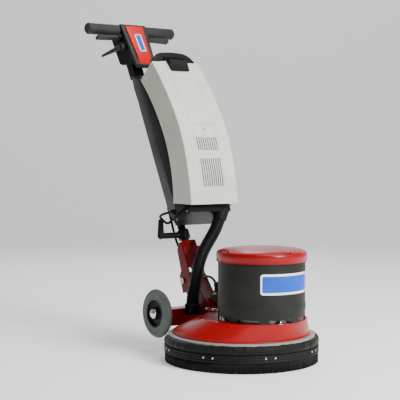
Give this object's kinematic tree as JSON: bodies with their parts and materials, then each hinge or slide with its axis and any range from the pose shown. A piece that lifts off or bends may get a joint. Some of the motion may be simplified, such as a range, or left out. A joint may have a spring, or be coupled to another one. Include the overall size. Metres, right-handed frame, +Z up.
{
  "type": "rotary floor machine",
  "caption": "Single-disc floor machine with an offset motor, skirted deck, transport wheels, tilting switch handle and a pole-mounted suction unit with hose.",
  "frame": {"origin": "on the floor under the centre of the disc", "axes": "+X forward from the handle to the motor, +Y to the machine's left, +Z up"},
  "size_m": [0.9512, 0.472, 1.0746],
  "materials": {
    "red_paint": "gloss",
    "ring_grey": "matte",
    "skirt_cloth": "woven",
    "skirt_rubber": "satin",
    "bristle": "matte",
    "rivet_steel": "satin",
    "motor_plastic": "matte",
    "lid_plastic": "gloss",
    "black_plastic": "matte",
    "cover_plastic": "satin",
    "shell_plastic": "satin",
    "head_red": "gloss",
    "steel": "satin",
    "pole_black": "satin",
    "cast": "cast",
    "copper_steel": "plain",
    "brass_nut": "satin",
    "tyre_rubber": "matte",
    "hub_black": "satin",
    "chrome_cap": "polished",
    "brush_base": "satin",
    "brush_hair": "matte",
    "filter_cloth": "felt",
    "hose_rubber": "satin",
    "cable_rubber": "satin"
  },
  "bodies": {
    "deck": {"deck_housing": "red_paint", "bumper_ring": "ring_grey", "skirt_fabric": "skirt_cloth", "skirt_band": "skirt_rubber", "skirt_bristles": "bristle", "skirt_rivets": "rivet_steel", "axle_bracket": "red_paint", "wheel_axle": "steel", "hose_socket": "black_plastic", "tilt_fork": "red_paint", "fork_bolts": "rivet_steel", "motor_cover": "motor_plastic", "motor_lid": "lid_plastic", "lid_screws": "steel", "motor_frame": "cast", "motor_stator": "copper_steel", "gearbox_case": "cast", "bearings": "steel", "cable_gland": "black_plastic", "gland_nut": "brass_nut", "motor_cable": "cable_rubber"},
    "handle": {"handle_channel": "red_paint", "pivot_pin": "rivet_steel", "channel_bolts": "black_plastic", "pole_tube": "pole_black", "cord_hook": "black_plastic", "head_housing": "black_plastic", "head_frame": "motor_plastic", "head_cover": "head_red", "handle_grips": "black_plastic", "vac_lower_cover": "cover_plastic", "vac_shell_upper": "shell_plastic", "vac_shell_lower": "shell_plastic", "vac_brackets": "black_plastic", "vac_motor": "cast", "filter_bag": "filter_cloth", "hose_cuff": "hose_rubber", "vacuum_lead": "cable_rubber", "suction_hose": "hose_rubber"},
    "brush": {"output_gear": "steel", "drive_plate": "cast", "brush_block": "brush_base", "brush_bristles": "brush_hair"},
    "idler": {"idler_gear": "steel"},
    "rotor": {"rotor_shaft": "steel", "rotor_core": "copper_steel", "cooling_fan": "black_plastic"},
    "wheel_left": {"tyre_left": "tyre_rubber", "hub_left": "hub_black", "hub_cap_left": "chrome_cap"},
    "wheel_right": {"tyre_right": "tyre_rubber", "hub_right": "hub_black", "hub_cap_right": "chrome_cap"},
    "lever_left": {"switch_lever_left": "black_plastic"},
    "lever_right": {"switch_lever_right": "black_plastic"},
    "release": {"release_lever": "black_plastic"},
    "button": {"safety_button": "head_red"},
    "filter_door": {"vac_upper_cover": "cover_plastic", "carry_handle": "black_plastic"},
    "latch": {"vac_latch": "black_plastic"}
  },
  "joints": [
    {"name": "handle_tilt", "type": "hinge", "parent": "deck", "child": "handle", "pos_m": [-0.267, 0, 0.217], "axis": [0, -1, 0], "range_deg": [-20, 40], "deforming": ["suction_hose", "motor_cable"]},
    {"name": "brush_spin", "type": "hinge", "parent": "deck", "child": "brush", "pos_m": [0, 0, 0.1], "axis": [0, 0, 1], "continuous": true},
    {"name": "idler_spin", "type": "hinge", "parent": "deck", "child": "idler", "pos_m": [0.057, 0, 0.1], "axis": [0, 0, 1], "continuous": true},
    {"name": "rotor_spin", "type": "hinge", "parent": "deck", "child": "rotor", "pos_m": [0.0975, 0, 0.1], "axis": [0, 0, 1], "continuous": true},
    {"name": "wheel_left_spin", "type": "hinge", "parent": "deck", "child": "wheel_left", "pos_m": [-0.231, 0.152, 0.126], "axis": [0, 1, 0], "continuous": true},
    {"name": "wheel_right_spin", "type": "hinge", "parent": "deck", "child": "wheel_right", "pos_m": [-0.231, -0.152, 0.126], "axis": [0, 1, 0], "continuous": true},
    {"name": "switch_left", "type": "hinge", "parent": "handle", "child": "lever_left", "pos_m": [-0.61712, 0.059, 1.02604], "axis": [0.8849, 0, 0.4658], "range_deg": [0, 4], "stiffness_Nm_per_rad": 6, "springref_deg": -6.88},
    {"name": "switch_right", "type": "hinge", "parent": "handle", "child": "lever_right", "pos_m": [-0.61712, -0.059, 1.02604], "axis": [-0.8849, 0, -0.4658], "range_deg": [0, 4], "stiffness_Nm_per_rad": 6, "springref_deg": -6.88},
    {"name": "tilt_release", "type": "hinge", "parent": "handle", "child": "release", "pos_m": [-0.60124, -0.05, 0.99372], "axis": [0, 1, 0], "range_deg": [0, 18], "stiffness_Nm_per_rad": 8, "springref_deg": -5.73},
    {"name": "safety_press", "type": "slide", "parent": "handle", "child": "button", "axis": [0.8849, 0, 0.4658], "range_m": [0, 0.004], "stiffness_N_per_m": 900, "springref_m": -0.003},
    {"name": "filter_door_hinge", "type": "hinge", "parent": "handle", "child": "filter_door", "pos_m": [-0.2019, 0, 0.72024], "axis": [0, 1, 0], "range_deg": [0, 65]},
    {"name": "latch_flip", "type": "hinge", "parent": "filter_door", "child": "latch", "pos_m": [-0.32557, 0, 0.89981], "axis": [0, 1, 0], "range_deg": [0, 50]}
  ],
  "couplings": [
    {"joint": "idler_spin", "follows": "brush_spin", "ratio": -2.8},
    {"joint": "rotor_spin", "follows": "brush_spin", "ratio": 8}
  ]
}
